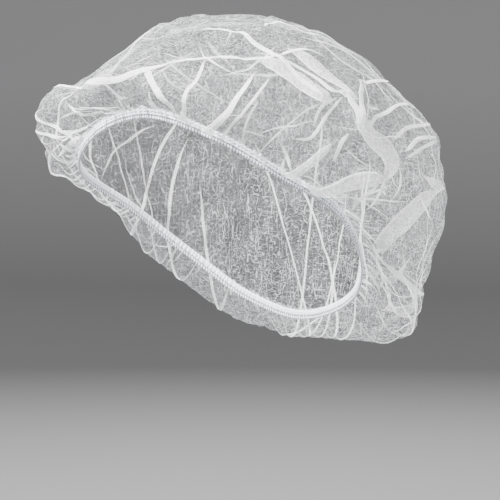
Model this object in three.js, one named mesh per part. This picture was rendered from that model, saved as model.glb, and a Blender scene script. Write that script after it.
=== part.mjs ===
// A disposable bouffant cap as it stands when worn: a disc of thin white nonwoven cloth,
// gathered into a narrow hem with an elastic cord along the lower edge of the hem.
// Millimetres, +Z up. The wearer faces -Y and the wearer's left is +X.
// The origin is the middle of the head opening.

import * as THREE from "three";

// Driving dimensions
const CLOTH_WALL = 1.0;
const CROWN_TOP = 131;
const OPENING_MIDDLE_Y = 8;
const CROWN_MIDDLE_Y = 5;
const CROWN_SHIFT_REACH = 120;
const CROWN_SHIFT_POWER = 1.5;
const ELASTIC_WIDTH = 1.8;
const ELASTIC_HEIGHT = 2.2;
const ELASTIC_RIB = 0.2;
const HEM_WALL = 1.4;
const HEM_HEIGHT = 3.6;
const HEM_RUCHE = 0.35;
const HEM_SEAM_INSET = 0.3;
const PIECE_GAP = 0.35;
const GATHER_COUNT = 30;
const GATHER_DEPTH = 2.4;
const SLOW_GATHER_COUNT = 19;
const SLOW_GATHER_DEPTH = 1.2;
const SLOW_GATHER_LEAD = 1.0;
const PUCKER_DEPTH = 1.1;
const PUCKERS_RIGHT_HAND = { count: 11, twist: 9 };
const PUCKERS_LEFT_HAND = { count: 7, twist: -12 };

// How finely each piece is faceted
const CLOTH_STEPS_AROUND = 120;
const CLOTH_STATIONS = [
  0, 0.008, 0.025, 0.05, 0.08, 0.13, 0.19, 0.25, 0.31, 0.37, 0.43, 0.49, 0.55, 0.61, 0.68, 0.76, 0.84, 0.92,
];
const BAND_STEPS_AROUND = 96;
const FOLD_SAMPLES = 16;
const NORMAL_TURN_STEP = 1.5;
const NORMAL_STATION_STEP = 0.01;

// The stations of a section, from the rim (0) to the top of the crown (1)
const LOW_STATION = 0.08;
const WIDE_STATION = 0.36;
const SHOULDER_STATION = 0.58;
const CREST_STATION = 0.80;

// How far the section's line bows between its knots: off the hem, up the puff to its widest,
// over from there to the shoulder, and everywhere else
const BOW_OFF_HEM = 0.6;
const BOW_TO_WIDEST = 1.15;
const BOW_TO_SHOULDER = 1.3;
const BOW_ELSEWHERE = 0.85;

// One section of the crown for each 30 degrees round, from the brow by the wearer's left.
// out is the distance from the middle line and up is the height, at the rim, at the lowest
// stretch of the puff, at its widest, at its shoulder and at the crest of the crown.
const SECTION_COLUMNS = [
  "rimOut", "rimUp", "lowOut", "lowUp", "wideOut", "wideUp",
  "shoulderOut", "shoulderUp", "crestOut", "crestUp",
];
const SECTIONS = [
  [84, 65, 93, 72, 106, 84, 93, 98, 50, 121],
  [84, 51, 94, 57, 108, 72, 96, 94, 50, 121],
  [84, 26, 97, 30, 112, 54, 102, 86, 54, 120],
  [80, 6, 100, 6, 120, 38, 106, 80, 56, 119],
  [82, -26, 106, -46, 131, 34, 112, 76, 58, 118],
  [82, -54, 111, -76, 131, 20, 112, 74, 58, 119],
  [76, -66, 106, -80, 134, 18, 112, 78, 58, 120],
  [78, -54, 110, -74, 132, 24, 110, 82, 54, 121],
  [80, -24, 104, -36, 128, 36, 108, 86, 50, 121],
  [84, 6, 98, 6, 121, 50, 100, 84, 46, 120],
  [97, 30, 104, 30, 120, 62, 101, 84, 44, 118],
  [91, 55, 99, 56, 113, 73, 94, 90, 46, 119],
];

// The main folds and dents. Each runs from one place by its middle to another, all given as
// degrees round from the brow and as a station. height is how far it stands out of the
// crown (a dent is below zero) and reach is half its width.
const FOLDS = {
  "long band over the brow": { from: [344, 0.41], by: [5, 0.49], to: [53, 0.63], height: 4, reach: 15 },
  "strap down the left side": { from: [48, 0.61], by: [60, 0.56], to: [74, 0.54], height: 3, reach: 14 },
  "crest over the top": { from: [19, 0.74], by: [45, 0.69], to: [66, 0.51], height: 3, reach: 13 },
  "seam over the left temple": { from: [54, 0.64], by: [66, 0.67], to: [84, 0.60], height: 2.5, reach: 12 },
  "hanging flap": { from: [74, 0.53], by: [80, 0.43], to: [87, 0.34], height: 4, reach: 15 },
  "lower swag over the ear": { from: [69, 0.10], by: [77, 0.20], to: [87, 0.29], height: 3.5, reach: 12 },
  "upper swag behind the ear": { from: [87, 0.30], by: [97, 0.40], to: [115, 0.44], height: 3, reach: 12 },
  "tuck over the left brow": { from: [33, 0.17], by: [38, 0.34], to: [49, 0.56], height: 2, reach: 11 },
  "tuck over the temple": { from: [58, 0.12], by: [63, 0.28], to: [72, 0.52], height: 2.5, reach: 11 },
  "puff corner on the right": { from: [290, 0.42], by: [305, 0.47], to: [318, 0.44], height: 4, reach: 16 },
  "bulge low at the back": { from: [112, 0.08], by: [124, 0.11], to: [138, 0.09], height: 3.5, reach: 18 },
  "dent behind the ear": { from: [114, 0.17], by: [125, 0.21], to: [137, 0.19], height: -8, reach: 30 },
  "dent over the left temple": { from: [62, 0.36], by: [68, 0.42], to: [72, 0.46], height: -2.5, reach: 16 },
  "dent over the brow": { from: [15, 0.30], by: [24, 0.36], to: [30, 0.46], height: -2, reach: 18 },
  "dent low on the right": { from: [300, 0.22], by: [310, 0.27], to: [322, 0.24], height: -3, reach: 16 },
  "valley up the back": { from: [172, 0.20], by: [178, 0.42], to: [186, 0.62], height: -4, reach: 20 },
  "ridge up the right back": { from: [206, 0.16], by: [214, 0.40], to: [226, 0.60], height: 3.5, reach: 18 },
  "valley on the right side": { from: [242, 0.18], by: [252, 0.4], to: [266, 0.56], height: -3.5, reach: 18 },
};

// Section values between two rows of the table, round the full circle
function around(values, degrees) {
  const place = (((degrees % 360) + 360) % 360) / (360 / values.length);
  const row = Math.floor(place);
  const part = place - row;
  const [a, b, c, d] = [-1, 0, 1, 2].map((step) => values[(row + step + values.length) % values.length]);
  return b + 0.5 * part * (c - a + part * (2 * a - 5 * b + 4 * c - d + part * (3 * (b - c) + d - a)));
}

function sectionAt(degrees) {
  const section = {};
  SECTION_COLUMNS.forEach((column, index) => {
    section[column] = around(SECTIONS.map((row) => row[index]), degrees);
  });
  return section;
}

function hermite(start, startPull, end, endPull, part) {
  const square = part * part;
  const cube = square * part;
  return (2 * cube - 3 * square + 1) * start + (cube - 2 * square + part) * startPull
    + (3 * square - 2 * cube) * end + (cube - square) * endPull;
}

// The direction of the section at a knot, from the two stretches that meet there
function knotDirection(before, after) {
  const direction = before.clone().divideScalar(before.lengthSq());
  direction.add(after.clone().divideScalar(after.lengthSq()));
  return direction.normalize();
}

// A section as a smooth line (out, up) through its five table points and the crown's top
function sectionPoint(degrees, station) {
  const s = sectionAt(degrees);
  const points = [
    new THREE.Vector2(s.rimOut, s.rimUp),
    new THREE.Vector2(s.lowOut, s.lowUp),
    new THREE.Vector2(s.wideOut, s.wideUp),
    new THREE.Vector2(s.shoulderOut, s.shoulderUp),
    new THREE.Vector2(s.crestOut, s.crestUp),
    new THREE.Vector2(0, CROWN_TOP),
  ];
  const stations = [0, LOW_STATION, WIDE_STATION, SHOULDER_STATION, CREST_STATION, 1];
  let stretch = 0;
  while (stretch < 4 && station > stations[stretch + 1]) stretch += 1;
  const chords = points.slice(1).map((point, index) => point.clone().sub(points[index]));
  const rise = new THREE.Vector2(0, 1);
  const inward = new THREE.Vector2(-1, 0);
  const pull = (knot, chord) =>
    knotDirection(chords[knot - 1], chords[knot]).multiplyScalar(BOW_ELSEWHERE * chord.length());
  const chord = chords[stretch];
  const pulls = [
    () => [new THREE.Vector2(chord.x, BOW_OFF_HEM * Math.abs(chord.y)), pull(1, chord)],
    () => [pull(1, chord), rise.clone().multiplyScalar(BOW_TO_WIDEST * chord.y)],
    () => [rise.clone().multiplyScalar(BOW_TO_SHOULDER * chord.length()), pull(3, chord)],
    () => [pull(3, chord), pull(4, chord)],
    () => [pull(4, chord), inward.clone().multiplyScalar(chord.length())],
  ];
  const [startPull, endPull] = pulls[stretch]();
  const part = (station - stations[stretch]) / (stations[stretch + 1] - stations[stretch]);
  const start = points[stretch];
  const end = points[stretch + 1];
  return {
    out: hermite(start.x, startPull.x, end.x, endPull.x, part),
    up: hermite(start.y, startPull.y, end.y, endPull.y, part),
  };
}

// A section point in space: the crown's top lies a little in front of the opening's middle
function placed(degrees, out, up) {
  const turn = THREE.MathUtils.degToRad(degrees);
  const shift = Math.pow(THREE.MathUtils.clamp(1 - out / CROWN_SHIFT_REACH, 0, 1), CROWN_SHIFT_POWER);
  const middle = THREE.MathUtils.lerp(OPENING_MIDDLE_Y, CROWN_MIDDLE_Y, shift);
  return new THREE.Vector3(out * Math.sin(turn), middle - out * Math.cos(turn), up);
}

function rimPoint(degrees) {
  const s = sectionAt(degrees);
  return placed(degrees, s.rimOut, s.rimUp);
}

// The directions at the rim: outward from the head, and up across the hem
function rimDirections(degrees) {
  const along = rimPoint(degrees + 1).sub(rimPoint(degrees - 1)).normalize();
  const turn = THREE.MathUtils.degToRad(degrees);
  const outward = new THREE.Vector3(Math.sin(turn), -Math.cos(turn), 0);
  outward.addScaledVector(along, -outward.dot(along)).normalize();
  return { outward, up: outward.clone().cross(along).normalize() };
}

// The cloth starts just above the hem and reaches its table line at the low station
const CLOTH_START = ELASTIC_HEIGHT + HEM_HEIGHT + 2 * PIECE_GAP;

function smoothCrown(degrees, station) {
  const { out, up } = sectionPoint(degrees, station);
  const point = placed(degrees, out, up);
  const left = THREE.MathUtils.clamp(1 - station / LOW_STATION, 0, 1);
  const lift = CLOTH_START * left * left * (3 - 2 * left);
  return point.addScaledVector(rimDirections(degrees).up, lift);
}

function crownNormal(degrees, station) {
  const low = Math.max(station - NORMAL_STATION_STEP, 0);
  const high = Math.min(station + NORMAL_STATION_STEP, 1);
  const before = smoothCrown(degrees - NORMAL_TURN_STEP, station);
  const along = smoothCrown(degrees + NORMAL_TURN_STEP, station).sub(before);
  const upward = smoothCrown(degrees, high).sub(smoothCrown(degrees, low));
  return along.cross(upward).normalize();
}

function foldLine(fold) {
  const [start, middle, end] = [fold.from, fold.by, fold.to].map(([turn, station]) => ({ turn, station }));
  const unwind = (turn) => turn - 360 * Math.round((turn - middle.turn) / 360);
  const line = [];
  for (let step = 0; step <= FOLD_SAMPLES; step += 1) {
    const part = step / FOLD_SAMPLES;
    const weights = [(1 - part) * (1 - 2 * part), 4 * part * (1 - part), part * (2 * part - 1)];
    const turn = weights[0] * unwind(start.turn) + weights[1] * middle.turn + weights[2] * unwind(end.turn);
    const station = weights[0] * start.station + weights[1] * middle.station + weights[2] * end.station;
    line.push(smoothCrown(turn, station));
  }
  return line;
}

const FOLD_LINES = Object.values(FOLDS).map((fold) => ({ ...fold, line: foldLine(fold) }));

// Where folds meet, the tallest one stands and the deepest dent shows
function foldHeight(point) {
  let ridge = 0;
  let dent = 0;
  for (const fold of FOLD_LINES) {
    const distance = Math.min(...fold.line.map((sample) => sample.distanceTo(point)));
    const closeness = Math.max(0, 1 - (distance / fold.reach) ** 2);
    ridge = Math.max(ridge, fold.height * closeness ** 2);
    dent = Math.min(dent, fold.height * closeness ** 2);
  }
  return ridge + dent;
}

// The gathers start flat at the hem, stand out most just above it and fade by the widest part
function gatherHeight(degrees, station) {
  const turn = THREE.MathUtils.degToRad(degrees);
  const start = THREE.MathUtils.smoothstep(station, 0, LOW_STATION);
  const fade = 1 - THREE.MathUtils.smoothstep(station, LOW_STATION, WIDE_STATION);
  const quick = GATHER_DEPTH * Math.cos(GATHER_COUNT * turn);
  const slow = SLOW_GATHER_DEPTH * Math.cos(SLOW_GATHER_COUNT * turn + SLOW_GATHER_LEAD);
  return start * fade * (quick + slow);
}

// Broad puckers that wind up the crown both ways, out of step with the gathers
function puckerHeight(degrees, station) {
  const turn = THREE.MathUtils.degToRad(degrees);
  const start = THREE.MathUtils.smoothstep(station, LOW_STATION, WIDE_STATION);
  const fade = 1 - THREE.MathUtils.smoothstep(station, SHOULDER_STATION, 1);
  const wave = ({ count, twist }) => Math.cos(count * turn + twist * station);
  return PUCKER_DEPTH * start * fade * (wave(PUCKERS_RIGHT_HAND) + wave(PUCKERS_LEFT_HAND));
}

function meshOf(positions, triangles, name, material) {
  const geometry = new THREE.BufferGeometry();
  const numbers = positions.flatMap((point) => [point.x, point.y, point.z]);
  geometry.setAttribute("position", new THREE.Float32BufferAttribute(numbers, 3));
  geometry.setIndex(triangles);
  geometry.computeVertexNormals();
  const mesh = new THREE.Mesh(geometry, material);
  mesh.name = name;
  return mesh;
}

// The cloth: an outer and an inner skin, joined round the rim and each closed at the top
function makeCloth(material) {
  const positions = [];
  const triangles = [];
  const stepDegrees = 360 / CLOTH_STEPS_AROUND;
  const rings = CLOTH_STATIONS.length;
  const vertex = (skin, ring, step) =>
    (skin * rings + ring) * CLOTH_STEPS_AROUND + (step % CLOTH_STEPS_AROUND);
  for (const depth of [0, CLOTH_WALL]) {
    for (const station of CLOTH_STATIONS) {
      for (let step = 0; step < CLOTH_STEPS_AROUND; step += 1) {
        const degrees = step * stepDegrees;
        const point = smoothCrown(degrees, station);
        const height = foldHeight(point) + gatherHeight(degrees, station) + puckerHeight(degrees, station);
        const settle = THREE.MathUtils.smoothstep(station, 0, LOW_STATION);
        positions.push(point.addScaledVector(crownNormal(degrees, station), settle * height - depth));
      }
    }
  }
  const tops = [0, CLOTH_WALL].map((depth) => {
    positions.push(placed(0, 0, CROWN_TOP - depth));
    return positions.length - 1;
  });
  const quad = (a, b, c, d) => triangles.push(a, b, c, a, c, d);
  for (let step = 0; step < CLOTH_STEPS_AROUND; step += 1) {
    const next = step + 1;
    for (let ring = 0; ring < rings - 1; ring += 1) {
      const above = ring + 1;
      quad(vertex(0, ring, step), vertex(0, ring, next), vertex(0, above, next), vertex(0, above, step));
      quad(vertex(1, ring, next), vertex(1, ring, step), vertex(1, above, step), vertex(1, above, next));
    }
    triangles.push(vertex(0, rings - 1, step), vertex(0, rings - 1, next), tops[0]);
    triangles.push(vertex(1, rings - 1, next), vertex(1, rings - 1, step), tops[1]);
    quad(vertex(1, 0, step), vertex(1, 0, next), vertex(0, 0, next), vertex(0, 0, step));
  }
  return meshOf(positions, triangles, "cap_cloth", material);
}

// A closed band along the rim. profile gives its outline as pairs (outward, up) at a step
function makeBand(profile, name, material) {
  const positions = [];
  const triangles = [];
  const sides = profile(0).length;
  for (let step = 0; step < BAND_STEPS_AROUND; step += 1) {
    const degrees = (step * 360) / BAND_STEPS_AROUND;
    const { outward, up } = rimDirections(degrees);
    for (const [away, above] of profile(step)) {
      positions.push(rimPoint(degrees).addScaledVector(outward, away).addScaledVector(up, above));
    }
  }
  const vertex = (step, side) => (step % BAND_STEPS_AROUND) * sides + (side % sides);
  for (let step = 0; step < BAND_STEPS_AROUND; step += 1) {
    for (let side = 0; side < sides; side += 1) {
      const [a, b] = [vertex(step, side), vertex(step, side + 1)];
      const [c, d] = [vertex(step + 1, side + 1), vertex(step + 1, side)];
      triangles.push(a, d, c, a, c, b);
    }
  }
  return meshOf(positions, triangles, name, material);
}

// The hem: a doubled strip of cloth, ruched, so that its outer face swells at each second step
function makeHem(material) {
  const bottom = ELASTIC_HEIGHT + PIECE_GAP;
  const top = bottom + HEM_HEIGHT;
  const half = HEM_WALL / 2;
  const profile = (step) => {
    const swell = step % 2 ? HEM_RUCHE : 0;
    return [
      [-half, bottom], [half, bottom], [half + swell, bottom + HEM_SEAM_INSET * HEM_HEIGHT],
      [half + HEM_RUCHE - swell, top - HEM_SEAM_INSET * HEM_HEIGHT], [half, top], [-half, top],
    ];
  };
  return makeBand(profile, "hem_band", material);
}

// The elastic: a ribbed cord of oval section along the lower edge
function makeElastic(material) {
  const sides = 6;
  const profile = (step) => {
    const rib = step % 2 ? ELASTIC_RIB : 0;
    return Array.from({ length: sides }, (_, side) => {
      const angle = ((side + 0.5) / sides) * 2 * Math.PI;
      const away = (ELASTIC_WIDTH / 2 - rib) * Math.cos(angle);
      const above = ELASTIC_HEIGHT / 2 + (ELASTIC_HEIGHT / 2 - rib) * Math.sin(angle);
      return [away, above];
    });
  };
  return makeBand(profile, "elastic_cord", material);
}

const nonwovenWhite = new THREE.MeshStandardMaterial({
  name: "nonwoven_white", color: 0xe9ecee, roughness: 0.85, metalness: 0,
  transparent: true, opacity: 0.75, side: THREE.DoubleSide,
});
const hemWhite = new THREE.MeshStandardMaterial({
  name: "hem_white", color: 0xeef1f5, roughness: 0.85, metalness: 0,
});
const elasticWhite = new THREE.MeshStandardMaterial({
  name: "elastic_white", color: 0xe4e7ee, roughness: 0.7, metalness: 0,
});

const bouffantCap = new THREE.Group();
bouffantCap.add(makeCloth(nonwovenWhite));
bouffantCap.add(makeHem(hemWhite));
bouffantCap.add(makeElastic(elasticWhite));

export default bouffantCap;
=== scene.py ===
"""A disposable bouffant cap as worn: thin translucent nonwoven cloth gathered on an elastic.

Lengths are in millimetres until a mesh is made. The cap's front faces -Y, and +Z is up.
"""
import math

import bpy
import numpy as np
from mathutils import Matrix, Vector


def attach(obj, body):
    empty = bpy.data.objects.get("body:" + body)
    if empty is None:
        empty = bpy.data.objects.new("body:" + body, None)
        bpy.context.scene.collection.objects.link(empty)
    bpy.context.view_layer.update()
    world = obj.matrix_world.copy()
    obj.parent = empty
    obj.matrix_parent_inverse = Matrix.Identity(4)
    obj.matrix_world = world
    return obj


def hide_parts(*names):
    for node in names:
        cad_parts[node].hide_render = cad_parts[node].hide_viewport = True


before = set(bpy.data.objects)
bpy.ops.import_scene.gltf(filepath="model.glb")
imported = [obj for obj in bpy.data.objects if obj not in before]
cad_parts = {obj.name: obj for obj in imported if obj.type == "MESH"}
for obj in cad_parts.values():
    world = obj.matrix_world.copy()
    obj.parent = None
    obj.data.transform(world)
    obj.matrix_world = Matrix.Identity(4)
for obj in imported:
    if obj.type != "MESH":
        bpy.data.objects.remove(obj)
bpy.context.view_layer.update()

MM = 0.001
SEED = 21

# The cap's driving sizes, the same as its solids have
CROWN_TOP = 131
OPENING_MIDDLE_Y = 8
CROWN_MIDDLE_Y = 5
CROWN_SHIFT_REACH = 120
CROWN_SHIFT_POWER = 1.5
ELASTIC_WIDTH = 1.8
ELASTIC_HEIGHT = 2.2
HEM_WALL = 1.4
HEM_HEIGHT = 3.6
PIECE_GAP = 0.35
CLOTH_START = ELASTIC_HEIGHT + HEM_HEIGHT + 2 * PIECE_GAP

# Stations of a section, from the rim (0) to the top of the crown (1)
STATIONS = (0.0, 0.08, 0.36, 0.58, 0.80, 1.0)
LOW_STATION, WIDE_STATION, SHOULDER_STATION, CREST_STATION = STATIONS[1:5]
BOW_OFF_HEM = 0.6
BOW_TO_WIDEST = 1.15
BOW_TO_SHOULDER = 1.3
BOW_ELSEWHERE = 0.85

# One section for each 30 degrees round, from the front by the cap's left: the distance from
# the middle line and the height, at the rim, the low stretch, the widest, the shoulder and
# the crest
SECTIONS = np.array([
    # rim      low       wide      shoulder  crest
    (84, 65, 93, 72, 106, 84, 93, 98, 50, 121),
    (84, 51, 94, 57, 108, 72, 96, 94, 50, 121),
    (84, 26, 97, 30, 112, 54, 102, 86, 54, 120),
    (80, 6, 100, 6, 120, 38, 106, 80, 56, 119),
    (82, -26, 106, -46, 131, 34, 112, 76, 58, 118),
    (82, -54, 111, -76, 131, 20, 112, 74, 58, 119),
    (76, -66, 106, -80, 134, 18, 112, 78, 58, 120),
    (78, -54, 110, -74, 132, 24, 110, 82, 54, 121),
    (80, -24, 104, -36, 128, 36, 108, 86, 50, 121),
    (84, 6, 98, 6, 121, 50, 100, 84, 46, 120),
    (97, 30, 104, 30, 120, 62, 101, 84, 44, 118),
    (91, 55, 99, 56, 113, 73, 94, 90, 46, 119),
], float)

# The main folds and dents: from, by and to, each as degrees round and station, then how far
# it stands out and half its width
FOLDS = [
    ("long band over the brow", (344, 0.41), (5, 0.49), (53, 0.63), 4.0, 15),
    ("strap down the left side", (48, 0.61), (60, 0.56), (74, 0.54), 3.0, 14),
    ("crest over the top", (19, 0.74), (45, 0.69), (66, 0.51), 3.0, 13),
    ("seam over the left temple", (54, 0.64), (66, 0.67), (84, 0.60), 2.5, 12),
    ("hanging flap", (74, 0.53), (80, 0.43), (87, 0.34), 4.0, 15),
    ("lower swag over the ear", (69, 0.10), (77, 0.20), (87, 0.29), 3.5, 12),
    ("upper swag behind the ear", (87, 0.30), (97, 0.40), (115, 0.44), 3.0, 12),
    ("tuck over the left brow", (33, 0.17), (38, 0.34), (49, 0.56), 2.0, 11),
    ("tuck over the temple", (58, 0.12), (63, 0.28), (72, 0.52), 2.5, 11),
    ("puff corner on the right", (290, 0.42), (305, 0.47), (318, 0.44), 4.0, 16),
    ("bulge low at the back", (112, 0.08), (124, 0.11), (138, 0.09), 3.5, 18),
    ("dent behind the ear", (114, 0.17), (125, 0.21), (137, 0.19), -8.0, 30),
    ("dent over the left temple", (62, 0.36), (68, 0.42), (72, 0.46), -2.5, 16),
    ("dent over the brow", (15, 0.30), (24, 0.36), (30, 0.46), -2.0, 18),
    ("dent low on the right", (300, 0.22), (310, 0.27), (322, 0.24), -3.0, 16),
    ("valley up the back", (172, 0.20), (178, 0.42), (186, 0.62), -4.0, 20),
    ("ridge up the right back", (206, 0.16), (214, 0.40), (226, 0.60), 3.5, 18),
    ("valley on the right side", (242, 0.18), (252, 0.40), (266, 0.56), -3.5, 18),
]

FOLD_LINE_STEPS = 16

# Smaller forms of the same kind that only the cloth's fine surface shows
SMALL_FOLDS = [
    ("pinched corner on the right", (296, 0.185), (299, 0.21), (303, 0.22), 7.0, 8),
    ("puff over that corner", (300, 0.30), (307, 0.37), (312, 0.42), 5.0, 24),
    ("crumple at the left back", (112, 0.33), (120, 0.33), (128, 0.32), 2.5, 10),
]


# The crown as a smooth surface

def periodic(column, degrees):
    """One column of the sections at any degrees round, on a smooth closed curve."""
    values = SECTIONS[:, column]
    place = np.mod(degrees, 360) / (360 / len(values))
    row = np.floor(place).astype(int)
    part = place - row
    a, b, c, d = (values[(row + step) % len(values)] for step in (-1, 0, 1, 2))
    return b + 0.5 * part * (c - a + part * (2 * a - 5 * b + 4 * c - d + part * (3 * (b - c) + d - a)))


def hermite(start, start_pull, end, end_pull, part):
    """The place at a part, from 0 to 1, of the curve between two ends and their pulls."""
    square, cube = part ** 2, part ** 3
    return ((2 * cube - 3 * square + 1) * start + (cube - 2 * square + part) * start_pull
            + (3 * square - 2 * cube) * end + (cube - square) * end_pull)


def section_line(degrees, station):
    """The distance out and the height at these stations of the sections at these degrees."""
    columns = [periodic(column, degrees) for column in range(10)]
    top = np.zeros_like(columns[0])
    outs = columns[0::2] + [top]
    ups = columns[1::2] + [top + CROWN_TOP]
    chords = [(outs[k + 1] - outs[k], ups[k + 1] - ups[k]) for k in range(5)]
    lengths = [np.hypot(*chord) for chord in chords]

    def knot_pull(knot, stretch):
        before, after = chords[knot - 1], chords[knot]
        x = before[0] / lengths[knot - 1] ** 2 + after[0] / lengths[knot] ** 2
        y = before[1] / lengths[knot - 1] ** 2 + after[1] / lengths[knot] ** 2
        size = BOW_ELSEWHERE * lengths[stretch] / np.hypot(x, y)
        return x * size, y * size

    pulls = [
        ((chords[0][0], BOW_OFF_HEM * np.abs(chords[0][1])), knot_pull(1, 0)),
        (knot_pull(1, 1), (top, BOW_TO_WIDEST * chords[1][1])),
        ((top, BOW_TO_SHOULDER * lengths[2]), knot_pull(3, 2)),
        (knot_pull(3, 3), knot_pull(4, 3)),
        (knot_pull(4, 4), (-lengths[4], top)),
    ]
    out = np.zeros(np.broadcast(degrees, station).shape)
    up = out.copy()
    for k, (start_pull, end_pull) in enumerate(pulls):
        part = np.clip((station - STATIONS[k]) / (STATIONS[k + 1] - STATIONS[k]), 0, 1)
        here = (station >= STATIONS[k]) & (station <= STATIONS[k + 1])
        out = np.where(here, hermite(outs[k], start_pull[0], outs[k + 1], end_pull[0], part), out)
        up = np.where(here, hermite(ups[k], start_pull[1], ups[k + 1], end_pull[1], part), up)
    return out, up


def placed(degrees, out, up):
    """A section point in space. The crown's top lies a little before the opening's middle."""
    turn = np.radians(degrees)
    shift = np.clip(1 - out / CROWN_SHIFT_REACH, 0, 1) ** CROWN_SHIFT_POWER
    middle = OPENING_MIDDLE_Y + (CROWN_MIDDLE_Y - OPENING_MIDDLE_Y) * shift
    return np.stack([out * np.sin(turn), middle - out * np.cos(turn), up], -1)


def unit(vectors):
    return vectors / np.maximum(np.linalg.norm(vectors, axis=-1, keepdims=True), 1e-9)


def dot(first, second):
    return (first * second).sum(-1)


def rim_point(degrees):
    return placed(degrees, periodic(0, degrees), periodic(1, degrees))


def rim_directions(degrees):
    """Outward, up across the hem and along the rim."""
    along = unit(rim_point(degrees + 1) - rim_point(degrees - 1))
    turn = np.radians(degrees)
    outward = np.stack([np.sin(turn), -np.cos(turn), 0 * turn], -1)
    outward = unit(outward - along * (outward * along).sum(-1, keepdims=True))
    return outward, np.cross(outward, along), along


def smooth_crown(degrees, station):
    """The crown before any fold. Its edge starts above the elastic and the hem."""
    degrees, station = np.broadcast_arrays(np.asarray(degrees, float), np.asarray(station, float))
    point = placed(degrees, *section_line(degrees, station))
    left = np.clip(1 - station / LOW_STATION, 0, 1)
    lift = CLOTH_START * left ** 2 * (3 - 2 * left)
    return point + rim_directions(degrees)[1] * lift[..., None]


def crown_normal(degrees, station):
    """The outward direction of the crown before any fold."""
    turn_step, station_step = 1.5, 0.01
    along = smooth_crown(degrees + turn_step, station) - smooth_crown(degrees - turn_step, station)
    high = smooth_crown(degrees, np.minimum(station + station_step, 1))
    low = smooth_crown(degrees, np.maximum(station - station_step, 0))
    return unit(np.cross(along, high - low))


def through(start, middle, end, steps):
    """Degrees and stations along the curve through three places."""
    part = np.linspace(0, 1, steps + 1)
    weights = ((1 - part) * (1 - 2 * part), 4 * part * (1 - part), part * (2 * part - 1))
    turns = [place[0] - 360 * round((place[0] - middle[0]) / 360) for place in (start, middle, end)]
    degrees = sum(weight * turn for weight, turn in zip(weights, turns))
    station = sum(weight * place[1] for weight, place in zip(weights, (start, middle, end)))
    return degrees, station


def smoothstep(value, low, high):
    part = np.clip((value - low) / (high - low), 0, 1)
    return part * part * (3 - 2 * part)


def nearest_square(points, line):
    """The square of each point's distance to the nearest sample of a line."""
    nearest = np.full(points.shape[:-1], 1e9)
    for sample in line:
        nearest = np.minimum(nearest, ((points - sample) ** 2).sum(-1))
    return nearest


def fold_height(points):
    """How far the main folds raise or dent the crown at these points."""
    ridge = np.zeros(points.shape[:-1])
    dent = ridge.copy()
    for _, start, middle, end, height, reach in FOLDS + SMALL_FOLDS:
        line = smooth_crown(*through(start, middle, end, FOLD_LINE_STEPS))
        close = np.clip(1 - nearest_square(points, line) / reach ** 2, 0, 1) ** 2 * height
        ridge, dent = np.maximum(ridge, close), np.minimum(dent, close)
    return ridge + dent


# Meshes

def mesh_piece(name, points, faces, material):
    """A smooth mesh object from points in millimetres, which rides on the one body."""
    mesh = bpy.data.meshes.new(name)
    mesh.from_pydata((points * MM).tolist(), [], faces)
    mesh.polygons.foreach_set("use_smooth", [True] * len(mesh.polygons))
    mesh.materials.append(material)
    mesh.validate()
    piece = bpy.data.objects.new(name, mesh)
    bpy.context.scene.collection.objects.link(piece)
    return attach(piece, "root")


def grid_faces(rows, columns, first=0):
    """Quads of a grid whose columns close round, as vertex numbers from first."""
    row, column = np.meshgrid(np.arange(rows - 1), np.arange(columns), indexing="ij")
    after = (column + 1) % columns
    corners = (row * columns + column, row * columns + after,
               (row + 1) * columns + after, (row + 1) * columns + column)
    return (np.stack(corners, -1).reshape(-1, 4) + first).tolist()


def point_values(piece, name, values):
    """Give each of a piece's points a number that its material reads."""
    layer = piece.data.attributes.new(name, "FLOAT", "POINT")
    layer.data.foreach_set("value", values.astype(np.float32))


# The cloth itself: the crown with creases, the swell along each tuck and gathers at the hem

STEPS_AROUND = 500
# Stations where the rows of the cloth's grid change their spacing, and the rows up to the next
ROW_SPREAD = ((0.0, 22), (0.08, 36), (0.36, 20), (0.58, 18), (0.80, 24), (0.995, 0))
TOP_ROW_STATION = ROW_SPREAD[-1][0]
ROW_LEVELS = np.concatenate([
    np.linspace(low[0], high[0], low[1], endpoint=False) for low, high in zip(ROW_SPREAD, ROW_SPREAD[1:])
] + [[TOP_ROW_STATION]])
# Creases start at one station and spread over a span of them, crowded towards its upper end
CREASES = 300
CREASE_FROM, CREASE_SPAN, CREASE_CROWDING = 0.07, 0.85, 0.8
CREASE_HALF_LENGTH, CREASE_HALF_WIDTH = (16, 55), (5, 14)
CREASE_SLOPE = (0.08, 0.30)
# How far from its own tangent plane a crease still shows, so that it leaves the far side alone
CREASE_DEPTH = 35
# Creases are lower where the photo's own folds are placed one by one
PHOTO_SIDE_TO, PHOTO_SIDE_CALM = 112, 0.5
# Above this station creases and swells fade towards the top
CALM_FROM = 0.9
# The swell along a tuck: its height, how far it reaches and the spacing of its samples
SWELL_HEIGHT, SWELL_REACH, SWELL_STEP = 1.3, 7, 3
# Pleats at the hem, their usual length as a station, and the waves that make them uneven
GATHERS = 92
GATHER_HEIGHT = 1.0
GATHER_LENGTH = 0.075
GATHER_WAVES = (5, 11, 17, 31)


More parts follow.
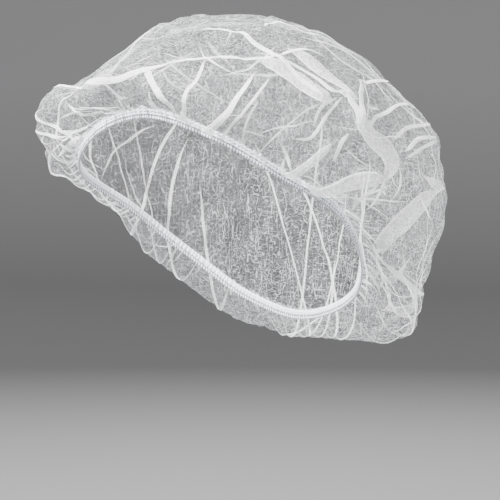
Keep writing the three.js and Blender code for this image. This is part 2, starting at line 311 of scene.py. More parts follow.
def crease_height(points):
    """Straight ridges and valleys with sharp crests, scattered all over the crown."""
    rng = np.random.default_rng(SEED)
    height = np.zeros(points.shape[:-1])
    for _ in range(CREASES):
        degrees = rng.uniform(0, 360)
        station = CREASE_FROM + CREASE_SPAN * rng.uniform() ** CREASE_CROWDING
        centre, normal = smooth_crown(degrees, station), crown_normal(degrees, station)
        run = unit(np.cross(normal, rng.normal(size=3)))
        half_length, half_width = rng.uniform(*CREASE_HALF_LENGTH), rng.uniform(*CREASE_HALF_WIDTH)
        size = rng.uniform(*CREASE_SLOPE) * half_width * rng.choice([-1, 1])
        if degrees < PHOTO_SIDE_TO:
            size *= PHOTO_SIDE_CALM
        gap = points - centre
        near = np.abs(gap @ normal) < CREASE_DEPTH
        off = np.abs(gap @ np.cross(normal, run)) / half_width
        along = gap @ run / half_length
        height += size * near * np.clip(1 - off, 0, 1) * np.clip(1 - along ** 2, 0, 1)
    return height


def swell_height(points):
    """A low tent-shaped ridge along each tuck that is listed one by one."""
    height = np.zeros(points.shape[:-1])
    for knots in (*TUCKS.values(), *SOFT_TUCKS.values()):
        degrees, station = spaced_places(smooth_crown, knots, SWELL_STEP)[:2]
        away = np.sqrt(nearest_square(points, smooth_crown(degrees, station)))
        height = np.maximum(height, SWELL_HEIGHT * np.clip(1 - away / SWELL_REACH, 0, 1))
    return height


def gather_height(turn, level):
    """Pleats that radiate from the hem, uneven in spacing and length."""
    rng = np.random.default_rng(SEED + 3)
    round_turn = np.radians(turn)
    waves = [(k, rng.uniform(0.4, 1), rng.uniform(0, 6.3)) for k in GATHER_WAVES]
    wander = sum(size * np.sin(k * round_turn + start) for k, size, start in waves)
    length = GATHER_LENGTH * (1 + 0.45 * np.sin(9 * round_turn + 2 * wander))
    fade = smoothstep(level, 0, 0.012) * (1 - smoothstep(level, 0.25 * length, 1.6 * length))
    return GATHER_HEIGHT * fade * np.sin(GATHERS * round_turn + 1.5 * wander + 14 * level)


def build_cloth_points():
    """The grid of the cloth, a row for each level from the hem up."""
    turn, level = np.meshgrid(np.arange(STEPS_AROUND) * 360 / STEPS_AROUND, ROW_LEVELS)
    smooth = smooth_crown(turn, level)
    settle = smoothstep(level, 0, LOW_STATION)
    calm = 1 - smoothstep(level, CALM_FROM, TOP_ROW_STATION)
    height = settle * (fold_height(smooth) + calm * (crease_height(smooth) + swell_height(smooth)))
    return smooth + crown_normal(turn, level) * (height + gather_height(turn, level))[..., None]


def cloth_sampler(points):
    """A function that gives the cloth's points at degrees and stations."""
    rows, columns = points.shape[:2]

    def at(degrees, station):
        column = np.mod(degrees, 360) / 360 * columns
        row = np.interp(station, ROW_LEVELS, np.arange(rows))
        left = np.floor(column).astype(int) % columns
        low = np.minimum(np.floor(row).astype(int), rows - 2)
        across = (column - np.floor(column))[..., None]
        above = (row - low)[..., None]
        right = (left + 1) % columns
        lower = points[low, left] * (1 - across) + points[low, right] * across
        upper = points[low + 1, left] * (1 - across) + points[low + 1, right] * across
        return lower * (1 - above) + upper * above

    return at


# Tucks: folds of the cloth that lie flat on it, so that three layers overlap

TUCK_STEP = 2.6
# How long a tuck's ends are and how much of its width they keep
JOINED_END, LOOSE_END, GATHER_END = (6, 0.38), (22, 0.12), (4, 0.25)
# Steps at each end of a tuck over which its layers thin out
FADE_STEPS = 2
# A tuck's height over the cloth, its thickness, how much higher one edge lies than its middle,
# and the share of all these that is left at its ends
TUCK_LIFT = 0.25
TUCK_THICKNESS = 0.3
TUCK_LEAN = 0.175
TUCK_END_HEIGHT = 0.35
# The stations that a tuck's middle line and its edges stay between
TUCK_MIDDLE_RANGE, TUCK_EDGE_RANGE = (0.004, 0.98), (0.002, 0.985)
# Places round a tuck's flat section: how far across, from -1 to 1, and whether on its upper face
TUCK_ROUND = np.array([(-1.0, 0.5), (-0.94, 1), (-0.76, 1), (0, 1), (0.76, 1), (0.94, 1), (1.0, 0.5),
                       (0.94, 0), (0, 0), (-0.94, 0)])
# Which of them are its two edges, and how far across an edge starts
TUCK_FIRST_EDGE, TUCK_OTHER_EDGE = 0, 6
EDGE_FROM = 0.9
# How dense the middle and the other edge are on a narrow and on a wide tuck
NARROW_AND_WIDE = (2.0, 5.5)
MIDDLE_DENSITY, OTHER_EDGE_DENSITY = (0.85, 0.22), (0.85, 0.50)

# Each tuck as places that it runs through: degrees round, station and width
TUCKS = {
    "long band over the brow": ((317, 0.46, 1.2), (324, 0.505, 1.4), (333, 0.465, 1.6), (342, 0.423, 2),
                                (350, 0.393, 2.6), (356, 0.398, 3), (1, 0.423, 3.2), (5, 0.463, 3.2),
                                (13, 0.565, 3.2), (22, 0.60, 3.2), (29, 0.62, 3.2), (40, 0.63, 3.5),
                                (47, 0.625, 4), (53, 0.635, 3)),
    "strap down the left side": ((46, 0.612, 5), (52, 0.605, 9), (60, 0.565, 10), (65, 0.52, 9),
                                 (69, 0.495, 6)),
    "crest over the top": ((19, 0.745, 2), (29, 0.77, 2.5), (40, 0.735, 3), (45, 0.69, 3),
                           (50, 0.66, 3), (53, 0.635, 3), (57, 0.605, 3), (62, 0.55, 3), (66, 0.505, 2)),
    "seam over the temple": ((54, 0.645, 2), (60, 0.665, 2.5), (70, 0.68, 2.5), (77, 0.67, 2)),
    "lower seam over the temple": ((55, 0.63, 2), (63, 0.61, 2.5), (66, 0.59, 2.5), (69, 0.545, 2.5),
                                   (72, 0.54, 2)),
    "crumpled patch": ((59, 0.675, 4), (65, 0.655, 8), (71, 0.615, 9), (75, 0.57, 7), (76, 0.535, 5)),
    "knot": ((71, 0.545, 4), (75, 0.535, 7), (78, 0.52, 4)),
    "knot down to the flap": ((74, 0.54, 3), (74, 0.525, 3), (76, 0.475, 3.5), (76, 0.43, 4)),
    "hanging flap": ((75, 0.45, 5), (81, 0.41, 11), (87, 0.385, 15), (88, 0.335, 11), (86, 0.285, 8)),
    "knot to the hem": ((72, 0.52, 1.6), (66, 0.44, 2), (63, 0.385, 2), (60, 0.345, 1.8), (56, 0.325, 1.4)),
    "strap to the brow": ((70, 0.515, 2), (65, 0.475, 2), (62, 0.40, 2)),
    "edge behind the knot": ((84, 0.605, 3.5), (78, 0.495, 3.5), (77, 0.425, 3.5)),
    "first ray to the back": ((79, 0.435, 2.5), (85, 0.48, 2.5), (91, 0.505, 2.5), (102, 0.55, 2),
                              (117, 0.555, 2)),
    "short ray to the back": ((81, 0.505, 1.5), (89, 0.515, 1.5)),
    "ridge behind the knot": ((84, 0.605, 2.5), (96, 0.62, 2.5), (109, 0.63, 2)),
    "second ray to the back": ((90, 0.42, 2), (97, 0.455, 2.5), (115, 0.48, 2)),
    "third ray to the back": ((93, 0.39, 2), (99, 0.42, 2.5), (114, 0.435, 2)),
    "fourth ray to the back": ((93, 0.375, 2), (101, 0.40, 2), (113, 0.425, 2)),
    "low ray to the back": ((86, 0.285, 2), (87, 0.25, 2), (91, 0.225, 2)),
    "ray to the ear": ((85, 0.255, 2.5), (84, 0.19, 2.5), (83, 0.125, 2.5)),
    "ray behind the ear": ((87, 0.27, 2), (88, 0.225, 2), (88, 0.125, 2)),
    "crease at the ear": ((80, 0.18, 1.5), (85, 0.07, 1.5)),
    "lower swag over the ear": ((63, 0.03, 5), (69, 0.10, 8), (74, 0.18, 10), (80, 0.245, 10),
                                (86, 0.285, 8)),
    "bow above the swag": ((69, 0.275, 2.5), (70, 0.36, 2.5), (73, 0.405, 2.5)),
    "wide tuck at the temple": ((56, 0.03, 7), (58, 0.115, 6), (61, 0.20, 5.5), (64, 0.28, 5),
                                (67, 0.36, 4)),
    "crease at the temple": ((52, 0.26, 2), (57, 0.145, 2)),
    "tuck over the left brow": ((44, 0.57, 2), (38, 0.42, 3), (33, 0.275, 4), (30, 0.17, 5), (28, 0.03, 7)),
    "line beside that tuck": ((49, 0.56, 1.4), (44, 0.45, 1.6), (38, 0.315, 1.8), (35, 0.18, 2),
                              (33, 0.03, 3)),
    "long crease to the hem": ((45, 0.435, 1.2), (42, 0.365, 1.3), (40, 0.105, 1.3)),
    "forked crease": ((27, 0.605, 1.5), (25, 0.46, 2), (22, 0.385, 2.4), (21, 0.25, 3), (19, 0.11, 4),
                      (19, 0.03, 5)),
    "tuck over the right brow": ((6, 0.50, 5), (9, 0.42, 4), (13, 0.33, 3.6), (16, 0.24, 3.2),
                                 (17, 0.15, 2.6)),
    "crease at the right brow": ((355, 0.26, 1.5), (354, 0.065, 1.5)),
    "short crease at the right": ((357, 0.16, 1.2), (355, 0.04, 1.2)),
    "swag on the right": ((330, 0.375, 2), (335, 0.24, 2), (345, 0.14, 2)),
    "swag under it": ((337, 0.29, 1.5), (350, 0.14, 1.5)),
    "ridge along the crown": ((57, 0.785, 2), (64, 0.825, 2.4), (76, 0.845, 2.6), (89, 0.80, 2.6),
                              (101, 0.765, 2.4), (107, 0.715, 2)),
}

# Softer folds, where the cloth hangs looser: at the back of the left side and on the right
SOFT_TUCKS = {
    "broad fold to the notch": ((107, 0.04, 4), (99, 0.124, 12), (100, 0.20, 16), (103, 0.254, 15),
                                (110, 0.303, 9), (115, 0.318, 4)),
    "facet at the notch": ((104, 0.34, 3), (111, 0.323, 7), (118, 0.323, 4)),
    "diagonal fold at the nape": ((128, 0.04, 3), (114, 0.065, 5), (110, 0.119, 5.5), (111, 0.169, 3)),
    "patch at the nape": ((139, 0.05, 4), (130, 0.065, 9), (123, 0.099, 8), (118, 0.13, 4)),
    "crease under the flap": ((90, 0.363, 1.4), (94, 0.279, 1.8), (93, 0.214, 1.4)),
    "fold behind the ear": ((103, 0.02, 2.5), (108, 0.07, 3), (116, 0.12, 3), (128, 0.17, 2)),
    "low fold at the nape": ((106, 0.03, 2), (115, 0.05, 2.6), (126, 0.06, 2.6), (140, 0.05, 2)),
    "puff ray on the right": ((300, 0.42, 2), (312, 0.33, 2), (322, 0.20, 2.4), (329, 0.06, 3)),
    "second puff ray": ((296, 0.36, 1.5), (312, 0.26, 2), (324, 0.15, 3)),
    "low fold on the right": ((308, 0.16, 3), (325, 0.085, 4), (333, 0.025, 4)),
}

# Folds of the same kind on the sides that the photo doesn't show, each of a few straight parts
PLAIN_SIDE_TUCKS = 44
PLAIN_SIDE_FROM, PLAIN_SIDE_TO = 112, 322
PLAIN_SIDE_WIDTH, PLAIN_SIDE_BEND = (0.9, 2.1), (-1.1, 1.1)
PLAIN_SIDE_PARTS = 4
STATION_AT_HEM, STATION_ON_CROWN = 0.02, (0.15, 0.72)
LENGTH_FROM_HEM, LENGTH_ON_CROWN = (45, 140), (30, 90)
PLAIN_SIDE_LOWEST, PLAIN_SIDE_HIGHEST = 0.01, 0.86
# About how long one degree round and one whole section are
MM_PER_DEGREE, MM_PER_STATION = 2.0, 260

# Short gathers that stand up from the hem, found on a run of samples up the cloth
HEM_GATHERS = 84
HEM_GATHER_LENGTH, HEM_GATHER_WIDTH = (8, 26), (1.3, 2.6)
HEM_GATHER_FOOT = 0.004
HEM_SAMPLES, HEM_SAMPLED_TO = 60, 0.5

# Single sharp creases, thinner than a tuck: half of their reach round and up, and their bow
FINE_CREASES = 44
FINE_CREASE_MIDDLE, FINE_CREASE_WIDTH = (0.12, 0.8), (0.7, 1.2)
FINE_CREASE_TURN, FINE_CREASE_RISE, FINE_CREASE_BOW = 14, 0.13, 3


def smooth_through(travel, values, where):
    """Values at these distances along a smooth curve through the knots."""
    slopes = np.gradient(values, travel)
    k = np.clip(np.searchsorted(travel, where) - 1, 0, len(travel) - 2)
    span = travel[k + 1] - travel[k]
    part = (where - travel[k]) / span
    return hermite(values[k], slopes[k] * span, values[k + 1], slopes[k + 1] * span, part)


def spaced_places(at, knots, step):
    """Degrees, stations, widths and distances at even steps along a tuck."""
    knots = np.array(knots, float)
    knots[:, 0] = np.unwrap(knots[:, 0], period=360)
    spans = np.linalg.norm(np.diff(at(knots[:, 0], knots[:, 1]), axis=0), axis=-1)
    travel = np.append(0, np.cumsum(spans))
    where = np.linspace(0, travel[-1], max(6, int(travel[-1] / step)) + 1)
    return (*(smooth_through(travel, knots[:, k], where) for k in range(3)), where)


def sideways(degrees, station, side):
    """How many degrees and how much station one millimetre along side is."""
    per_degree = (smooth_crown(degrees + 1, station) - smooth_crown(degrees - 1, station)) / 2
    per_station = (smooth_crown(degrees, station + 0.01) - smooth_crown(degrees, station - 0.01)) / 0.02
    uu, uv, vv = dot(per_degree, per_degree), dot(per_degree, per_station), dot(per_station, per_station)
    su, sv = dot(side, per_degree), dot(side, per_station)
    scale = uu * vv - uv * uv
    return (vv * su - uv * sv) / scale, (uu * sv - uv * su) / scale


def tuck_points(at, knots, lean, end, tip):
    """The points of one flattened fold along its knots, a ring of its section at each step. Over
    the length end it narrows to the share tip of its width."""
    degrees, station, width, where = spaced_places(at, knots, TUCK_STEP)
    station = np.clip(station, *TUCK_MIDDLE_RANGE)
    ends = np.minimum(where, where[-1] - where) / min(end, where[-1] / 2)
    width = width * (tip + (1 - tip) * smoothstep(ends, 0, 1))
    tangent = unit(np.gradient(at(degrees, station), axis=0))
    side = unit(np.cross(crown_normal(degrees, station), tangent))
    side_degrees, side_station = sideways(degrees, station, side)
    reach = TUCK_ROUND[:, 0][None] * width[:, None] / 2
    ring_degrees = degrees[:, None] + side_degrees[:, None] * reach
    ring_station = np.clip(station[:, None] + side_station[:, None] * reach, *TUCK_EDGE_RANGE)
    on_cloth = at(ring_degrees, ring_station)
    lift = TUCK_LIFT + TUCK_THICKNESS * TUCK_ROUND[:, 1] + lean * (1 + TUCK_ROUND[:, 0])
    lift = lift[None] * (TUCK_END_HEIGHT + (1 - TUCK_END_HEIGHT) * smoothstep(ends, 0, 1))[:, None]
    return on_cloth + crown_normal(ring_degrees, ring_station) * lift[..., None]


def plain_side_tucks(rng):
    """Folds on the unseen sides: half run up from the hem, and half wander over the crown."""
    for number in range(PLAIN_SIDE_TUCKS):
        from_hem = number % 2 == 0
        degrees = rng.uniform(PLAIN_SIDE_FROM, PLAIN_SIDE_TO)
        station = STATION_AT_HEM if from_hem else rng.uniform(*STATION_ON_CROWN)
        heading = math.pi / 2 + rng.normal(0, 0.3) if from_hem else rng.uniform(-0.8, 0.8)
        length = rng.uniform(*(LENGTH_FROM_HEM if from_hem else LENGTH_ON_CROWN))
        width = rng.uniform(*PLAIN_SIDE_WIDTH)
        bend = rng.uniform(*PLAIN_SIDE_BEND)
        knots = [(degrees, station, width)]
        for _ in range(PLAIN_SIDE_PARTS):
            degrees += math.cos(heading) * length / PLAIN_SIDE_PARTS / MM_PER_DEGREE
            station += math.sin(heading) * length / PLAIN_SIDE_PARTS / MM_PER_STATION
            heading += bend / PLAIN_SIDE_PARTS
            if not PLAIN_SIDE_LOWEST < station < PLAIN_SIDE_HIGHEST:
                break
            knots.append((degrees, station, width * rng.uniform(0.7, 1.3)))
        if len(knots) > 2:
            yield knots


def fine_creases(rng):
    """Thin creases that lie any way, anywhere on the crown."""
    for _ in range(FINE_CREASES):
        degrees, station = rng.uniform(0, 360), rng.uniform(*FINE_CREASE_MIDDLE)
        turn = rng.uniform(-FINE_CREASE_TURN, FINE_CREASE_TURN)
        rise = rng.uniform(-FINE_CREASE_RISE, FINE_CREASE_RISE)
        width = rng.uniform(*FINE_CREASE_WIDTH)
        bow = rng.uniform(-FINE_CREASE_BOW, FINE_CREASE_BOW)
        yield ((degrees - turn, station - rise, 0.6 * width), (degrees + bow, station, width),
               (degrees + turn, station + rise, 0.6 * width))


def hem_gathers(at, rng):
    """Short gathers that stand up from the hem all the way round."""
    for number in range(HEM_GATHERS):
        degrees = (number + rng.uniform(-0.35, 0.35)) * 360 / HEM_GATHERS
        length = rng.uniform(*HEM_GATHER_LENGTH)
        stations = np.linspace(HEM_GATHER_FOOT, HEM_SAMPLED_TO, HEM_SAMPLES)
        run = at(np.full(HEM_SAMPLES, degrees), stations)
        travel = np.append(0, np.cumsum(np.linalg.norm(np.diff(run, axis=0), axis=-1)))
        stop = float(np.interp(length, travel, stations))
        drift = rng.uniform(-1, 1) * length / 9
        width = rng.uniform(*HEM_GATHER_WIDTH)
        yield ((degrees, HEM_GATHER_FOOT, width), (degrees + 0.35 * drift, 0.5 * stop, width * 0.8),
               (degrees + drift, stop, width * 0.4))


def tuck_grids(at):
    """The rings of every tuck, and how dense its layers are."""
    rng = np.random.default_rng(SEED + 1)
    # The tucks of each kind, their density and their ends
    kinds = (
        (TUCKS.values(), 1.0, JOINED_END),
        (SOFT_TUCKS.values(), 0.72, LOOSE_END),
        (plain_side_tucks(rng), 0.45, LOOSE_END),
        (fine_creases(rng), 0.45, LOOSE_END),
        (hem_gathers(at, rng), 0.62, GATHER_END),
    )
    grids = []
    for knots, density, end in kinds:
        for places in knots:
            side = rng.choice([-1, 1])
            rings = tuck_points(at, places, TUCK_LEAN * side, *end)
            grids.append((rings, density * fold_density(rings, side)))
    return grids


def fold_density(rings, side):
    """How closely the layers lie: 1 along the folded edge, less along the other edge of a wide
    fold, and least across its middle."""
    widths = np.linalg.norm(rings[:, TUCK_FIRST_EDGE] - rings[:, TUCK_OTHER_EDGE], axis=-1)[:, None]
    middle = np.interp(widths, NARROW_AND_WIDE, MIDDLE_DENSITY)
    other = np.interp(widths, NARROW_AND_WIDE, OTHER_EDGE_DENSITY)
    across = side * TUCK_ROUND[:, 0]
    outside = (np.abs(across) > EDGE_FROM) & (TUCK_ROUND[:, 1] > 0)
    step = np.arange(len(rings))
    fade = np.clip(np.minimum(step, len(rings) - 1 - step) / FADE_STEPS, 0, 1)
    density = np.where(outside, np.where(across > 0, 1.0, other), middle)
    return density * fade[:, None]


def make_cloth(points, materials):
    """The whole disc of cloth: its grid, closed at the top by one point, and its tucks."""
    rows, columns = points.shape[:2]
    places = [points.reshape(-1, 3), np.array([[0, CROWN_MIDDLE_Y, CROWN_TOP]])]
    faces = grid_faces(rows, columns)
    last = (rows - 1) * columns
    faces += [[last + k, last + (k + 1) % columns, rows * columns] for k in range(columns)]
    sheet_faces = len(faces)
    first = rows * columns + 1
    edges = [np.zeros(first)]
    for rings, density in tuck_grids(cloth_sampler(points)):
        steps, sides = rings.shape[:2]
        places.append(rings.reshape(-1, 3))
        edges.append(density.ravel())
        faces += grid_faces(steps, sides, first)
        faces.append([first + k for k in range(sides)][::-1])
        faces.append([first + (steps - 1) * sides + k for k in range(sides)])
        first += steps * sides
    crown = mesh_piece("cloth_crown", np.concatenate(places), faces, materials[0])
    crown.data.materials.append(materials[1])
    kinds = np.zeros(len(faces), np.int32)
    kinds[sheet_faces:] = 1
    crown.data.polygons.foreach_set("material_index", kinds)
    crown.data.polygons.foreach_set("use_smooth", kinds == 0)
    point_values(crown, "folded_edge", np.concatenate(edges))
    return crown


# Hem and elastic

HEM_STEPS, HEM_INNER_SIDES = 1500, 4
HEM_PUCKERS = 205
# How far the hem's rolls stand out, the seam between them is sunk, the puckers slant, the edges
# ripple and the inner face ripples
HEM_ROLL, HEM_SINK, HEM_SLANT, HEM_RIPPLE, HEM_INNER_RIPPLE = 0.75, 0.3, 0.2, 0.22, 0.2
ELASTIC_STEPS, ELASTIC_SIDES = 1600, 10
# How many ribs the elastic has, how deep they are as a share of its radius, and how far they slant
ELASTIC_RIBS, RIB_DEPTH, RIB_SLANT = 300, 0.26, 1.1
# The elastic's small waves in and out: how many and how far
ELASTIC_WAVES, ELASTIC_WAVE_SIZE = 61, 0.1
# Heights across the hem's outer face, from its lower edge (0) to its upper edge (1), and the
# height where its upper roll starts
HEM_FACE = np.array([0, 0.1, 0.22, 0.34, 0.44, 0.52, 0.6, 0.7, 0.8, 0.9, 1.0])
UPPER_ROLL_FROM = 0.52


def wander_of(turn, rng, counts):
    """A slow uneven drift round the rim that keeps repeats from looking even."""
    return sum(rng.uniform(0.4, 1) * np.sin(k * turn + rng.uniform(0, 6.3)) for k in counts)


def band_mesh(name, steps, profile, material):
    """A closed band along the rim. profile gives, for each step and side, how far the place lies
    out, up and along, and how much painted shade darkens it there, in the grooves between threads."""
    degrees = np.arange(steps) * 360 / steps
    outward, up, along = rim_directions(degrees)
    away, above, shift, gap = profile(np.radians(degrees)[:, None])
    points = (rim_point(degrees)[:, None] + outward[:, None] * away[..., None]
              + up[:, None] * above[..., None] + along[:, None] * shift[..., None])
    sides = points.shape[1]
    step, side = np.meshgrid(np.arange(steps), np.arange(sides), indexing="ij")
    after, beside = (step + 1) % steps, (side + 1) % sides
    corners = (step * sides + side, after * sides + side, after * sides + beside, step * sides + beside)
    faces = np.stack(corners, -1).reshape(-1, 4).tolist()
    band = mesh_piece(name, points.reshape(-1, 3), faces, material)
    point_values(band, "painted_groove_shade", gap.ravel())
    return band


def hem_profile(turn):
    """Two ruched rolls of doubled cloth, with a row of stitches sunk between them."""
    rng = np.random.default_rng(SEED + 2)
    drift = 1.7 * wander_of(turn, rng, (7, 13, 29, 53))
    face = HEM_FACE[None]
    roll = np.sin(2 * np.pi * face) ** 2
    upper = face > UPPER_ROLL_FROM
    pucker = 0.5 + 0.5 * np.sin(HEM_PUCKERS * turn + drift + np.where(upper, 1.9, 0))
    plump = 0.75 + 0.25 * np.sin(0.37 * HEM_PUCKERS * turn + 2 * drift + np.where(upper, 0.7, 2.6))
    outer = HEM_WALL / 2 - HEM_SINK + HEM_ROLL * roll * plump * (0.35 + 0.65 * pucker)
    slant = HEM_SLANT * np.sin(HEM_PUCKERS * turn + drift + 1.2)
    inner_face = np.linspace(1, 0, HEM_INNER_SIDES)[None]
    inner_ripple = HEM_INNER_RIPPLE * np.sin(HEM_PUCKERS * turn + drift)
    inner = -HEM_WALL / 2 + inner_ripple * np.ones_like(inner_face)
    away = np.concatenate([outer, inner], 1)
    heights = np.concatenate([face + 0 * turn, inner_face + 0 * turn], 1)
    edge = np.abs(2 * heights - 1) ** 3
    ripple = edge * (HEM_RIPPLE * np.sin(HEM_PUCKERS * turn + drift + 0.6))
    above = ELASTIC_HEIGHT + PIECE_GAP + HEM_HEIGHT * heights + ripple
    # Painted shade, darkest in the sunk seam and at the edges of the rolls, where the puckers dip
    gap = np.concatenate([(1 - roll) * (1 - pucker) ** 1.5, 0 * inner], 1)
    return away, above, slant * np.ones_like(away), gap


def elastic_profile(turn):
    """A round cord with slanting ribs, as if sewn over with thread."""
    rng = np.random.default_rng(SEED + 4)
    angle = (np.arange(ELASTIC_SIDES) / ELASTIC_SIDES * 2 * np.pi)[None]
    drift = wander_of(turn, rng, (9, 23, 41))
    rib = 0.5 + 0.5 * np.cos(ELASTIC_RIBS * turn + RIB_SLANT * angle + drift)
    size = 1 - RIB_DEPTH * (1 - rib)
    wave = ELASTIC_WAVE_SIZE * np.sin(ELASTIC_WAVES * turn + 2 * drift)
    away = ELASTIC_WIDTH / 2 * np.cos(angle) * size + wave
    above = ELASTIC_HEIGHT / 2 * (1 + np.sin(angle) * size)
    # The last value is painted shade in the grooves between the ribs
    return away, above, np.zeros_like(away), (1 - rib) ** 1.5


# Materials

# The webs of fibres in the cloth: scale, turn and the stretch that draws fibres out of noise
FIBRE_WEBS = (
    (340, (0.3, 0.5, 0.2), (1, 1, 0.13)),
    (390, (1.1, 0.2, 0.9), (1, 0.13, 1)),
    (440, (0.5, 1.3, 2.1), (0.13, 1, 1)),
)
FIBRE_WIDTH = 0.03
CLOUD_SCALE = 70.0
# The fibres of the hem and the elastic: turn, stretch and width
THREAD_WEB = ((0.4, 0.8, 0.3), (1, 1, 0.6), 0.06)


def node(tree, kind, inputs=None, **settings):
    """A shader node with these settings, and its inputs linked or set."""
    made = tree.nodes.new(kind)
    for key, value in settings.items():
        setattr(made, key, value)
    for key, value in (inputs or {}).items():
        if isinstance(value, bpy.types.NodeSocket):
            tree.links.new(value, made.inputs[key])
        else:
            made.inputs[key].default_value = value
    return made


def arithmetic(tree, operation, *values, **settings):
    """What a math node makes of these values."""
    return node(tree, "ShaderNodeMath", dict(enumerate(values)), operation=operation, **settings).outputs[0]


def blend(tree, part, first, second):
    """A colour that goes from the first to the second as the part goes from 0 to 1."""
    return node(tree, "ShaderNodeMix", {0: part, 6: first, 7: second}, data_type="RGBA").outputs[2]


def blank_material(name):
    """A material with an empty node tree, and the place on the piece that is being shaded."""
    material = bpy.data.materials.new(name)
    material.use_nodes = True
    tree = material.node_tree
    tree.nodes.clear()
    return material, tree, node(tree, "ShaderNodeTexCoord").outputs["Object"]


def fibres(tree, place, scale, turn, stretch, width):
    """Fine wandering lines, 1 on a fibre and 0 between fibres."""
    mapped = node(tree, "ShaderNodeMapping", {"Vector": place, "Rotation": turn, "Scale": stretch})
    noise = node(tree, "ShaderNodeTexNoise", {"Vector": mapped.outputs[0], "Scale": scale, "Detail": 0.5,
                                              "Roughness": 0.5, "Distortion": 0.05})
    off = arithmetic(tree, "ABSOLUTE", arithmetic(tree, "SUBTRACT", noise.outputs[0], 0.5))
    ramp = node(tree, "ShaderNodeMapRange", {"Value": off, "From Min": 0.0, "From Max": width,
                                             "To Min": 1.0, "To Max": 0.0}, interpolation_type="SMOOTHSTEP")
    return ramp.outputs[0]


def nonwoven(name, shift, thin, fibre_cover, cloud_cover, edge_cover, colour, glow):
    """Spunbond cloth: a web of fibres that lets light and what is behind it through. thin is the
    haze between its fibres, to which the fibres, clouds of denser cloth and folded edges add
    their covers. glow is the share of its light that comes through from behind."""
    material, tree, place = blank_material(name)
    moved = node(tree, "ShaderNodeVectorMath", {0: place, 1: (shift, 2 * shift, -shift)},
                 operation="ADD").outputs[0]
    webs = [fibres(tree, moved, *web, FIBRE_WIDTH) for web in FIBRE_WEBS]
    web = arithmetic(tree, "MAXIMUM", arithmetic(tree, "MAXIMUM", webs[0], webs[1]), webs[2])
    cloud = node(tree, "ShaderNodeTexNoise", {"Vector": moved, "Scale": CLOUD_SCALE, "Detail": 3.0,
                                              "Roughness": 0.6}).outputs[0]
    cover = arithmetic(tree, "MULTIPLY_ADD", web, fibre_cover, thin)
    if edge_cover:
        edge = node(tree, "ShaderNodeAttribute", attribute_name="folded_edge").outputs["Fac"]
        cover = arithmetic(tree, "MULTIPLY_ADD", edge, edge_cover, cover)
    cloudy = arithmetic(tree, "SUBTRACT", cloud, 0.5)
    alpha = arithmetic(tree, "MULTIPLY_ADD", cloudy, cloud_cover, cover, use_clamp=True)
    bump = node(tree, "ShaderNodeBump", {"Height": web, "Strength": 0.35, "Distance": 0.00012})
    shade = node(tree, "ShaderNodeBsdfPrincipled", {"Base Color": colour, "Roughness": 0.72,
                                                    "Sheen Weight": 0.25, "Sheen Roughness": 0.5,
                                                    "Specular IOR Level": 0.3, "Normal": bump.outputs[0]})
    lit = node(tree, "ShaderNodeBsdfTranslucent", {"Color": colour, "Normal": bump.outputs[0]})
    cloth = node(tree, "ShaderNodeMixShader", {0: glow, 1: shade.outputs[0], 2: lit.outputs[0]})
    clear = node(tree, "ShaderNodeBsdfTransparent")
    mixed = node(tree, "ShaderNodeMixShader", {0: alpha, 1: clear.outputs[0], 2: cloth.outputs[0]})
    node(tree, "ShaderNodeOutputMaterial", {"Surface": mixed.outputs[0]})
    return material


def thread_white(name, colour, painted_shade_colour, scale):
    """Opaque white thread and ruched cloth, greyer with painted shade where grooves lie between the
    threads.
    """
    material, tree, place = blank_material(name)
    web = fibres(tree, place, scale, *THREAD_WEB)
    gap = node(tree, "ShaderNodeAttribute", attribute_name="painted_groove_shade").outputs["Fac"]
    mottle = node(tree, "ShaderNodeTexNoise", {"Vector": place, "Scale": scale * 0.8,
                                               "Detail": 2.0}).outputs[0]
    # A random mottle of the thread, plus the painted shade of the grooves
    uneven = arithmetic(tree, "MULTIPLY_ADD", arithmetic(tree, "SUBTRACT", mottle, 0.5), 0.7, gap)
    tone = node(tree, "ShaderNodeMapRange", {"Value": uneven, "From Min": 0.22, "From Max": 0.7,
                                             "To Min": 0.0, "To Max": 1.0}).outputs[0]
    paint = blend(tree, tone, colour, painted_shade_colour)
    bump = node(tree, "ShaderNodeBump", {"Height": web, "Strength": 0.5, "Distance": 0.0002})
    shade = node(tree, "ShaderNodeBsdfPrincipled", {"Base Color": paint, "Roughness": 0.7,
                                                    "Sheen Weight": 0.2, "Specular IOR Level": 0.3,
                                                    "Normal": bump.outputs[0]})
    node(tree, "ShaderNodeOutputMaterial", {"Surface": shade.outputs[0]})
    return material


# Camera, stage and light

CAMERA_AZIMUTH = 37
CAMERA_ELEVATION = 2
CAMERA_DISTANCE = 1.5
CAMERA_LENS, CAMERA_SENSOR = 171.4, 36
SHIFT_RIGHT, SHIFT_UP = 0.05, -0.054
FLOOR_LEVEL = -0.30
# The floor is painted darker than the backdrop, as painted shade that offsets the lights from above
FLOOR_COLOUR = (0.12, 0.12, 0.122, 1)
BACKDROP_COLOUR, BACKDROP_LEVEL = (0.20, 0.20, 0.204, 1), 0.15
# The stage's outline from its middle, as metres out and metres above the floor
STAGE_OUTLINE = ((0.0, 0.0), (1.2, 0.0), (2.2, 0.0), (2.6, 0.1), (2.85, 0.35), (3.0, 0.8), (3.0, 3.6))
STAGE_STEPS = 64
# Each light: degrees round from the front, degrees up, metres away, metres across and watts
LIGHTS = (
    ("key", -14, 42, 1.5, 0.4, 165),
    ("fill", 95, 22, 1.8, 0.7, 48),
    ("back", 212, 44, 1.7, 0.6, 95),
)
WORLD_COLOUR, WORLD_STRENGTH = (1, 1, 1, 1), 0.24


def direction(azimuth, elevation):
    """The way from the middle of the opening, at these degrees round from the front and up."""
    turn, rise = math.radians(azimuth), math.radians(elevation)
    return np.array([math.sin(turn) * math.cos(rise), -math.cos(turn) * math.cos(rise), math.sin(rise)])


def aim(thing, place):
    """Put a camera or light at a place, facing the middle of the opening."""
    thing.location = place
    thing.rotation_euler = Vector(place).to_track_quat("Z", "Y").to_euler()


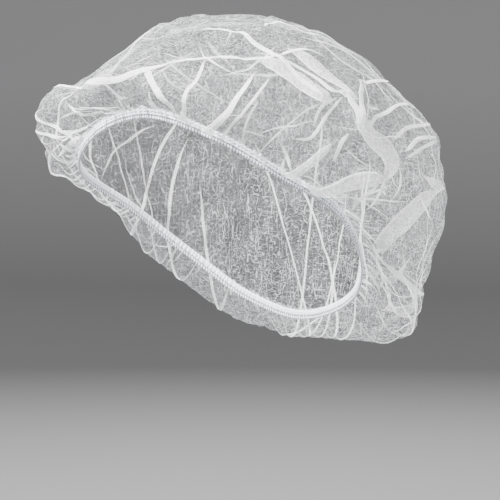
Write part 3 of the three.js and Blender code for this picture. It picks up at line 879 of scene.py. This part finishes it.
def make_camera():
    """A camera at the photograph's viewing angle."""
    data = bpy.data.cameras.new("photo_camera")
    camera = bpy.data.objects.new("photo_camera", data)
    bpy.context.scene.collection.objects.link(camera)
    data.lens = CAMERA_LENS
    data.sensor_width = CAMERA_SENSOR
    data.shift_x, data.shift_y = SHIFT_RIGHT, SHIFT_UP
    aim(camera, direction(CAMERA_AZIMUTH, CAMERA_ELEVATION) * CAMERA_DISTANCE)
    bpy.context.scene.camera = camera


def stage_material(name):
    """Matt paint, a little darker on the floor as painted shade against the lights from above, which make
    the floor brighter.
    """
    material = bpy.data.materials.new(name)
    material.use_nodes = True
    tree = material.node_tree
    shade = tree.nodes["Principled BSDF"]
    place = node(tree, "ShaderNodeTexCoord").outputs["Object"]
    height = node(tree, "ShaderNodeSeparateXYZ", {0: place}).outputs[2]
    rise = node(tree, "ShaderNodeMapRange", {"Value": height, "From Min": FLOOR_LEVEL,
                                             "From Max": BACKDROP_LEVEL, "To Min": 0.0,
                                             "To Max": 1.0}).outputs[0]
    tree.links.new(blend(tree, rise, FLOOR_COLOUR, BACKDROP_COLOUR), shade.inputs["Base Color"])
    shade.inputs["Roughness"].default_value = 0.9
    shade.inputs["Specular IOR Level"].default_value = 0.1
    return material


def make_stage():
    """A floor that curves up into a round backdrop on every side."""
    turn = np.arange(STAGE_STEPS) / STAGE_STEPS * 2 * np.pi
    points = [[0, 0, FLOOR_LEVEL]]
    for out, up in STAGE_OUTLINE[1:]:
        points += [[out * math.sin(angle), out * math.cos(angle), FLOOR_LEVEL + up] for angle in turn]
    faces = [[0, 1 + (k + 1) % STAGE_STEPS, 1 + k] for k in range(STAGE_STEPS)]
    faces += grid_faces(len(STAGE_OUTLINE) - 1, STAGE_STEPS, 1)
    mesh = bpy.data.meshes.new("stage")
    mesh.from_pydata(points, [], faces)
    mesh.polygons.foreach_set("use_smooth", [True] * len(mesh.polygons))
    mesh.materials.append(stage_material("stage_paint"))
    stage = bpy.data.objects.new("stage", mesh)
    bpy.context.scene.collection.objects.link(stage)


def make_lights():
    """Three round soft lights in an even white world."""
    for name, azimuth, elevation, distance, size, power in LIGHTS:
        data = bpy.data.lights.new(name, "AREA")
        data.shape = "DISK"
        data.size = size
        data.energy = power
        light = bpy.data.objects.new(name, data)
        bpy.context.scene.collection.objects.link(light)
        aim(light, direction(azimuth, elevation) * distance)
    world = bpy.data.worlds.new("studio")
    world.use_nodes = True
    background = world.node_tree.nodes["Background"]
    background.inputs["Color"].default_value = WORLD_COLOUR
    background.inputs["Strength"].default_value = WORLD_STRENGTH
    bpy.context.scene.world = world


# The scene

make_camera()
make_stage()
make_lights()
# Light passes many layers of see-through cloth, folds included
bpy.context.scene.cycles.transparent_max_bounces = 32

# Painted shade: the open cloth gets a greyer copy of the white of its folds, which are the same cloth, so
# that its panels look shaded and the folds look lit
white = (0.70, 0.71, 0.725, 1)
bright_white = (0.94, 0.945, 0.95, 1)
blue_white = (0.93, 0.955, 1.0, 1)
painted_shade_cloth_material = nonwoven("cloth_web", shift=0.0, thin=0.05, fibre_cover=0.42, cloud_cover=0.24,
                          edge_cover=0, colour=white, glow=0.32)
tuck_material = nonwoven("tuck_web", shift=0.37, thin=0.08, fibre_cover=0.40, cloud_cover=0.20,
                         edge_cover=0.75, colour=bright_white, glow=0.25)
# The second colours are painted shade, for the grooves between the threads
hem_material = thread_white("hem_thread", blue_white, (0.16, 0.18, 0.22, 1), 900)
elastic_material = thread_white("elastic_thread", blue_white, (0.24, 0.27, 0.32, 1), 1300)

crown = make_cloth(build_cloth_points(), (painted_shade_cloth_material, tuck_material))
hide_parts("cap_cloth")
hem = band_mesh("ruched_hem", HEM_STEPS, hem_profile, hem_material)
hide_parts("hem_band")
elastic = band_mesh("elastic_ribs", ELASTIC_STEPS, elastic_profile, elastic_material)
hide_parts("elastic_cord")
